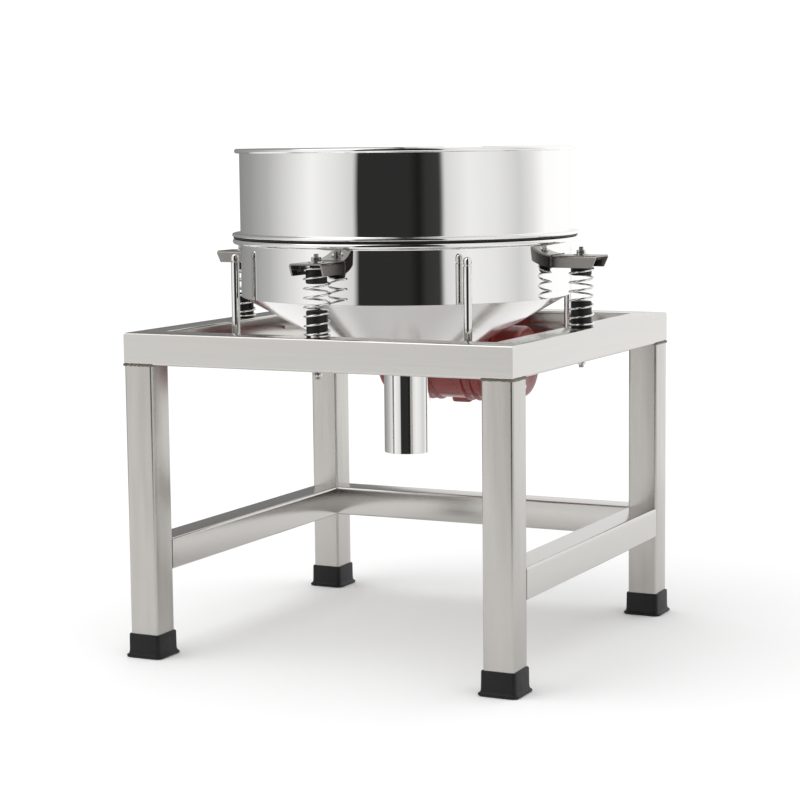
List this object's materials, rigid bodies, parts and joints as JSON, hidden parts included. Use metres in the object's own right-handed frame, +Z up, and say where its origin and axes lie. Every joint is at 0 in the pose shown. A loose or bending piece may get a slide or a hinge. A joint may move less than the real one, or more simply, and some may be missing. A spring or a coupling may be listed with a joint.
{
  "type": "vibrating sieve",
  "caption": "Round vibrating sieve with a lift-off feed ring and screen, on coil springs over a welded table frame, with a discharge cone and an unbalance motor.",
  "frame": {"origin": "on the floor, under the sieve's vertical axis, at the bottom centre of the bounding box", "axes": "+Z up along the sieve's axis, +X to the right of a user at the front, -Y the open front of the table"},
  "size_m": [0.514, 0.514, 0.604],
  "materials": {
    "satin_stainless": "satin polished stainless tube",
    "polished_stainless": "mirror polished stainless sheet",
    "bracket_steel": "dark polished folded stainless sheet",
    "spring_steel": "bright spring wire",
    "zinc_fasteners": "bright fasteners",
    "machined_steel": "machined steel inside the motor",
    "woven_mesh": "woven stainless wire",
    "black_rubber": "matte black moulded rubber",
    "red_paint": "dark red enamel on cast metal",
    "black_plastic": "black nylon cable gland"
  },
  "bodies": {
    "frame": {"top_beam_front": "satin_stainless", "top_beam_right": "satin_stainless", "top_beam_rear": "satin_stainless", "top_beam_left": "satin_stainless", "stretcher_left": "satin_stainless", "stretcher_right": "satin_stainless", "stretcher_rear": "satin_stainless", "leg_front_left": "satin_stainless", "leg_front_right": "satin_stainless", "leg_rear_left": "satin_stainless", "leg_rear_right": "satin_stainless", "foot_cap_front_left": "black_rubber", "foot_cap_front_right": "black_rubber", "foot_cap_rear_left": "black_rubber", "foot_cap_rear_right": "black_rubber", "guide_post_front_left": "polished_stainless", "guide_post_front_right": "polished_stainless", "guide_post_rear_left": "polished_stainless", "guide_post_rear_right": "polished_stainless", "corner_braces": "satin_stainless", "guide_post_nuts": "zinc_fasteners", "lower_buffer_front": "black_rubber", "lower_buffer_right": "black_rubber", "lower_buffer_rear": "black_rubber", "lower_buffer_left": "black_rubber", "lower_bolts": "zinc_fasteners", "lower_nuts": "zinc_fasteners", "spring_front": "spring_steel", "spring_right": "spring_steel", "spring_rear": "spring_steel", "spring_left": "spring_steel"},
    "sieve": {"lower_barrel": "polished_stainless", "discharge_cone": "polished_stainless", "discharge_spout": "polished_stainless", "spring_bracket_front": "bracket_steel", "spring_bracket_right": "bracket_steel", "spring_bracket_rear": "bracket_steel", "spring_bracket_left": "bracket_steel", "upper_buffers": "black_rubber", "upper_bolts": "zinc_fasteners", "upper_nuts": "zinc_fasteners", "motor_bracket": "bracket_steel", "motor_housing": "red_paint", "motor_end_covers": "red_paint", "motor_bearings": "machined_steel", "motor_stator": "machined_steel", "motor_bolts": "zinc_fasteners", "terminal_box": "red_paint", "terminal_lid": "red_paint", "cable_gland": "black_plastic"},
    "rotor": {"rotor_shaft": "machined_steel", "rotor_core": "machined_steel", "eccentric_weights": "machined_steel"},
    "screen": {"screen_ring": "woven_mesh", "screen_mesh": "woven_mesh", "screen_gasket": "black_rubber"},
    "feed_ring": {"upper_barrel": "polished_stainless"}
  },
  "joints": [
    {"name": "sieve_bounce", "type": "slide", "parent": "frame", "child": "sieve", "axis": [0, 0, 1], "range_m": [-0.004, 0.004], "stiffness_N_per_m": 12000, "springref_m": 0.01019, "deforming": ["spring_front", "spring_right", "spring_rear", "spring_left"]},
    {"name": "rotor_spin", "type": "hinge", "parent": "sieve", "child": "rotor", "pos_m": [0, 0.15199, 0.33002], "axis": [1, 0, 0], "continuous": true},
    {"name": "screen_lift", "type": "slide", "parent": "sieve", "child": "screen", "axis": [0, 0, 1], "range_m": [0, 0.15]},
    {"name": "feed_ring_lift", "type": "slide", "parent": "screen", "child": "feed_ring", "axis": [0, 0, 1], "range_m": [0, 0.15]}
  ]
}
